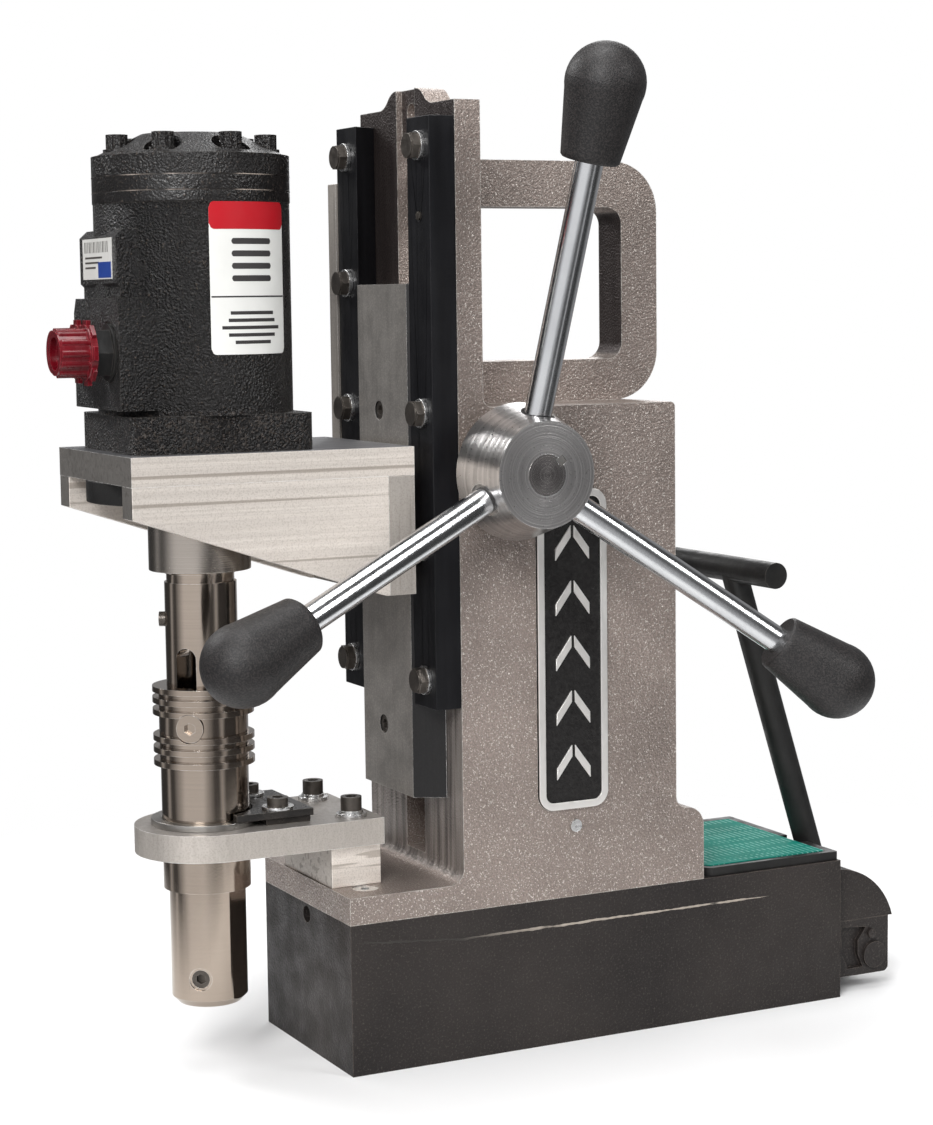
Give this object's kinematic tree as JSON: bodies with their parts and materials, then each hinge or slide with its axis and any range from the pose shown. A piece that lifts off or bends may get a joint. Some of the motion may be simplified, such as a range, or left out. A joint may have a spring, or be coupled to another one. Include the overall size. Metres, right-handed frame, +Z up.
{
  "type": "magnetic drill press",
  "caption": "Portable drill press on a switchable magnet base, with a hydraulic motor on a dovetail slide, a spoked feed handle, a support arm and a carry handle.",
  "frame": {"origin": "centre of the magnet's working face", "axes": "+Z up; -Y is the spindle side, +X is the feed handle side"},
  "size_m": [0.1932, 0.4272, 0.4643],
  "materials": {
    "magnet_housing": "dark brown-black paint, worn edges",
    "pole_bars": "ground steel",
    "pole_spacers": "dull brass",
    "column_casting": "sand-cast, bead blasted",
    "foot_screws": "zinc plated",
    "nameplate": "black",
    "nameplate_rim": "polished",
    "nameplate_marks": "polished",
    "oil_plug": "polished",
    "gibs": "black oxide, satin",
    "gib_bolts": "dark hex heads",
    "gib_washers": "zinc plated",
    "depth_scale": "machined",
    "arm_riser": "machined",
    "support_arm": "machined plate",
    "arm_screws": "black oxide",
    "arm_washers": "zinc plated",
    "arm_bush": "bearing bronze",
    "keeper_spacer": "black oxide",
    "keeper_clip": "black oxide",
    "cover_plate": "black",
    "info_label": "green printed label",
    "ear_blocks": "dark paint",
    "ear_caps": "dark paint",
    "ear_screws": "dark paint",
    "pinion_bushes": "bearing bronze",
    "slide": "ground face",
    "feed_rack": "cut steel",
    "slide_screws": "black oxide",
    "bracket_spacer": "machined",
    "bracket_back": "saw-cut plate",
    "bracket_top": "saw-cut plate",
    "gussets": "saw-cut plate",
    "bearing_plate": "black",
    "bearing_collar": "turned",
    "motor_screws": "black oxide",
    "motor_housing": "black paint on rough casting",
    "wear_plate": "black",
    "gerotor_ring": "black",
    "end_cover": "black paint",
    "cover_bolts": "black paint",
    "port_adapter": "black oxide",
    "port_caps": "glossy red",
    "motor_sticker": "printed sticker",
    "motor_label": "printed label",
    "magnet_frame": "machined steel",
    "magnet_blocks": "sintered magnet",
    "feed_hub": "turned",
    "pinion_shaft": "turned",
    "hub_key": "key steel",
    "feed_spokes": "zinc plated",
    "feed_knobs": "matte black",
    "spindle_barrel": "ground and plated",
    "motor_shaft": "ground",
    "spindle_screws": "black oxide",
    "coolant_ring": "turned and plated",
    "ring_plug": "plated",
    "lever_shaft": "ground",
    "lever_handle": "black paint"
  },
  "bodies": {
    "base": {"magnet_housing": "magnet_housing", "pole_bars": "pole_bars", "pole_spacers": "pole_spacers", "column_casting": "column_casting", "foot_screws": "foot_screws", "nameplate": "nameplate", "nameplate_rim": "nameplate_rim", "nameplate_marks": "nameplate_marks", "oil_plug": "oil_plug", "gibs": "gibs", "gib_bolts": "gib_bolts", "gib_washers": "gib_washers", "depth_scale": "depth_scale", "arm_riser": "arm_riser", "support_arm": "support_arm", "arm_screws": "arm_screws", "arm_washers": "arm_washers", "arm_bush": "arm_bush", "keeper_spacer": "keeper_spacer", "keeper_clip": "keeper_clip", "cover_plate": "cover_plate", "info_label": "info_label", "ear_blocks": "ear_blocks", "ear_caps": "ear_caps", "ear_screws": "ear_screws", "pinion_bushes": "pinion_bushes"},
    "carriage": {"slide": "slide", "feed_rack": "feed_rack", "slide_screws": "slide_screws", "bracket_spacer": "bracket_spacer", "bracket_back": "bracket_back", "bracket_top": "bracket_top", "gussets": "gussets", "bearing_plate": "bearing_plate", "bearing_collar": "bearing_collar", "motor_screws": "motor_screws", "motor_housing": "motor_housing", "wear_plate": "wear_plate", "gerotor_ring": "gerotor_ring", "end_cover": "end_cover", "cover_bolts": "cover_bolts", "port_adapter": "port_adapter", "port_caps": "port_caps", "motor_sticker": "motor_sticker", "motor_label": "motor_label"},
    "magnet_carrier": {"magnet_frame": "magnet_frame", "magnet_blocks": "magnet_blocks"},
    "feed_handle": {"feed_hub": "feed_hub", "pinion_shaft": "pinion_shaft", "hub_key": "hub_key", "feed_spokes": "feed_spokes", "feed_knobs": "feed_knobs"},
    "spindle": {"spindle_barrel": "spindle_barrel", "motor_shaft": "motor_shaft", "spindle_screws": "spindle_screws"},
    "coolant_sleeve": {"coolant_ring": "coolant_ring", "ring_plug": "ring_plug"},
    "magnet_lever": {"lever_shaft": "lever_shaft", "lever_handle": "lever_handle"}
  },
  "joints": [
    {"name": "feed_slide", "type": "slide", "parent": "base", "child": "carriage", "axis": [0, 0, 1], "range_m": [-0.018, 0.06]},
    {"name": "feed_turn", "type": "hinge", "parent": "base", "child": "feed_handle", "pos_m": [0, -0.0529, 0.2751], "axis": [1, 0, 0], "range_deg": [-288, 88]},
    {"name": "spindle_spin", "type": "hinge", "parent": "carriage", "child": "spindle", "pos_m": [0, -0.1844, 0.2], "axis": [0, 0, 1], "continuous": true},
    {"name": "sleeve_turn", "type": "hinge", "parent": "spindle", "child": "coolant_sleeve", "pos_m": [0, -0.1844, 0.16], "axis": [0, 0, 1], "continuous": true},
    {"name": "magnet_shift", "type": "slide", "parent": "base", "child": "magnet_carrier", "axis": [0, 1, 0], "range_m": [-0.0139, 0]},
    {"name": "lever_swing", "type": "hinge", "parent": "base", "child": "magnet_lever", "pos_m": [0, 0.1515, 0.037], "axis": [1, 0, 0], "range_deg": [-100, 0]}
  ],
  "couplings": [
    {"joint": "feed_turn", "follows": "feed_slide", "rad_per_m": -83.333},
    {"joint": "lever_swing", "follows": "magnet_shift", "rad_per_m": 125}
  ]
}
